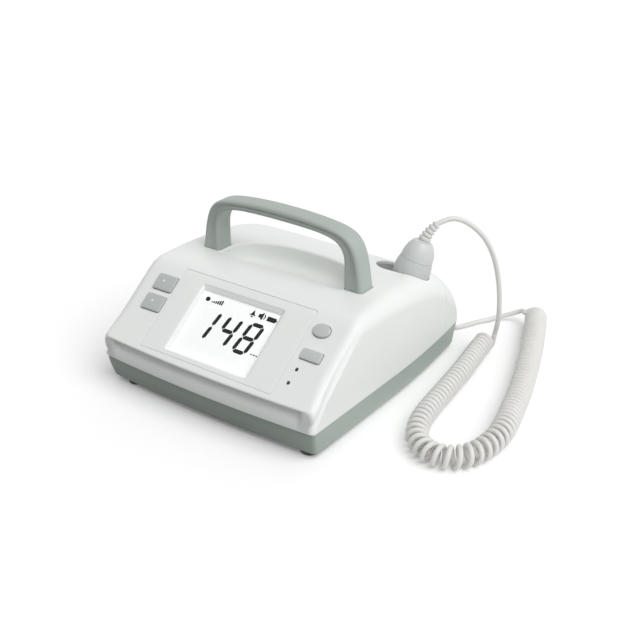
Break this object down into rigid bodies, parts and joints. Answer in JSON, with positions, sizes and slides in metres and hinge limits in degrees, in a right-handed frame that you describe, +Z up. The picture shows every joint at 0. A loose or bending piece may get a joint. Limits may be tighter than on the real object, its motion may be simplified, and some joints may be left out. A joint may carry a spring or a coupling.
{
  "type": "fetal doppler monitor",
  "caption": "Desktop fetal doppler monitor: white wedge-shaped case with sloping display and buttons, carrying handle, and a probe on a curly cord in a holder at the rear.",
  "frame": {"origin": "on the table under the middle of the body's bounding box, without the cord", "axes": "+Z up, +Y from the front (the sloping panel) to the back, +X to the right as the user faces the panel"},
  "size_m": [0.3151, 0.302, 0.1431],
  "materials": {
    "white_shell": "satin",
    "grey_base": "satin",
    "rubber_foot": "matte",
    "screw_steel": "satin",
    "handle_grey": "satin",
    "bezel_grey": "satin",
    "window_clear": "polished",
    "lcd_white": "gloss",
    "lcd_ink": "gloss",
    "light_guide": "gloss",
    "circuit_board": "satin",
    "component_black": "matte",
    "led_lens": "gloss",
    "button_grey": "satin",
    "button_pale": "satin",
    "dot_white": "satin",
    "speaker_metal": "matte",
    "cell_case": "gloss",
    "probe_shell": "satin",
    "probe_cap_grey": "satin",
    "probe_face": "matte",
    "boot_white": "satin",
    "contact_black": "satin",
    "plug_white": "satin",
    "cord_sheath": "satin"
  },
  "bodies": {
    "housing": {"upper_housing": "white_shell", "rear_cover": "white_shell", "base_tray": "grey_base", "battery_door": "grey_base", "rubber_feet": "rubber_foot", "housing_screws": "screw_steel", "handle": "handle_grey", "handle_screws": "screw_steel", "display_bezel": "bezel_grey", "display_window": "window_clear", "lcd_panel": "lcd_white", "lcd_digits": "lcd_ink", "lcd_backlight": "light_guide", "panel_board": "circuit_board", "tactile_switches": "component_black", "indicator_leds": "led_lens", "main_board": "circuit_board", "board_parts": "component_black", "speaker": "speaker_metal", "battery_pack": "cell_case", "probe_holder": "white_shell", "probe_socket": "contact_black", "dc_inlet": "contact_black", "probe_plug": "plug_white", "plug_boot": "boot_white", "probe_lead": "cord_sheath", "curly_cord": "cord_sheath", "socket_lead": "cord_sheath"},
    "upper_key": {"upper_square_button": "button_grey", "upper_button_dot": "dot_white"},
    "lower_key": {"lower_square_button": "button_grey", "lower_button_dot": "dot_white"},
    "round_key": {"round_button": "button_pale"},
    "oblong_key": {"oblong_button": "button_pale"},
    "probe": {"probe_grip": "probe_shell", "probe_cap": "probe_cap_grey", "probe_head": "probe_face", "probe_boot": "boot_white"}
  },
  "joints": [
    {"name": "upper_press", "type": "slide", "parent": "housing", "child": "upper_key", "axis": [0, 0.6115, -0.7912], "range_m": [0, 0.0012], "stiffness_N_per_m": 600, "springref_m": -0.0004},
    {"name": "lower_press", "type": "slide", "parent": "housing", "child": "lower_key", "axis": [0, 0.6115, -0.7912], "range_m": [0, 0.0012], "stiffness_N_per_m": 600, "springref_m": -0.0004},
    {"name": "round_press", "type": "slide", "parent": "housing", "child": "round_key", "axis": [0, 0.6115, -0.7912], "range_m": [0, 0.0012], "stiffness_N_per_m": 600, "springref_m": -0.0004},
    {"name": "oblong_press", "type": "slide", "parent": "housing", "child": "oblong_key", "axis": [0, 0.6115, -0.7912], "range_m": [0, 0.0012], "stiffness_N_per_m": 600, "springref_m": -0.0004},
    {"name": "probe_lift", "type": "slide", "parent": "housing", "child": "probe", "axis": [0.2206, 0.2803, 0.9342], "range_m": [0, 0.07], "deforming": ["probe_lead"]}
  ]
}
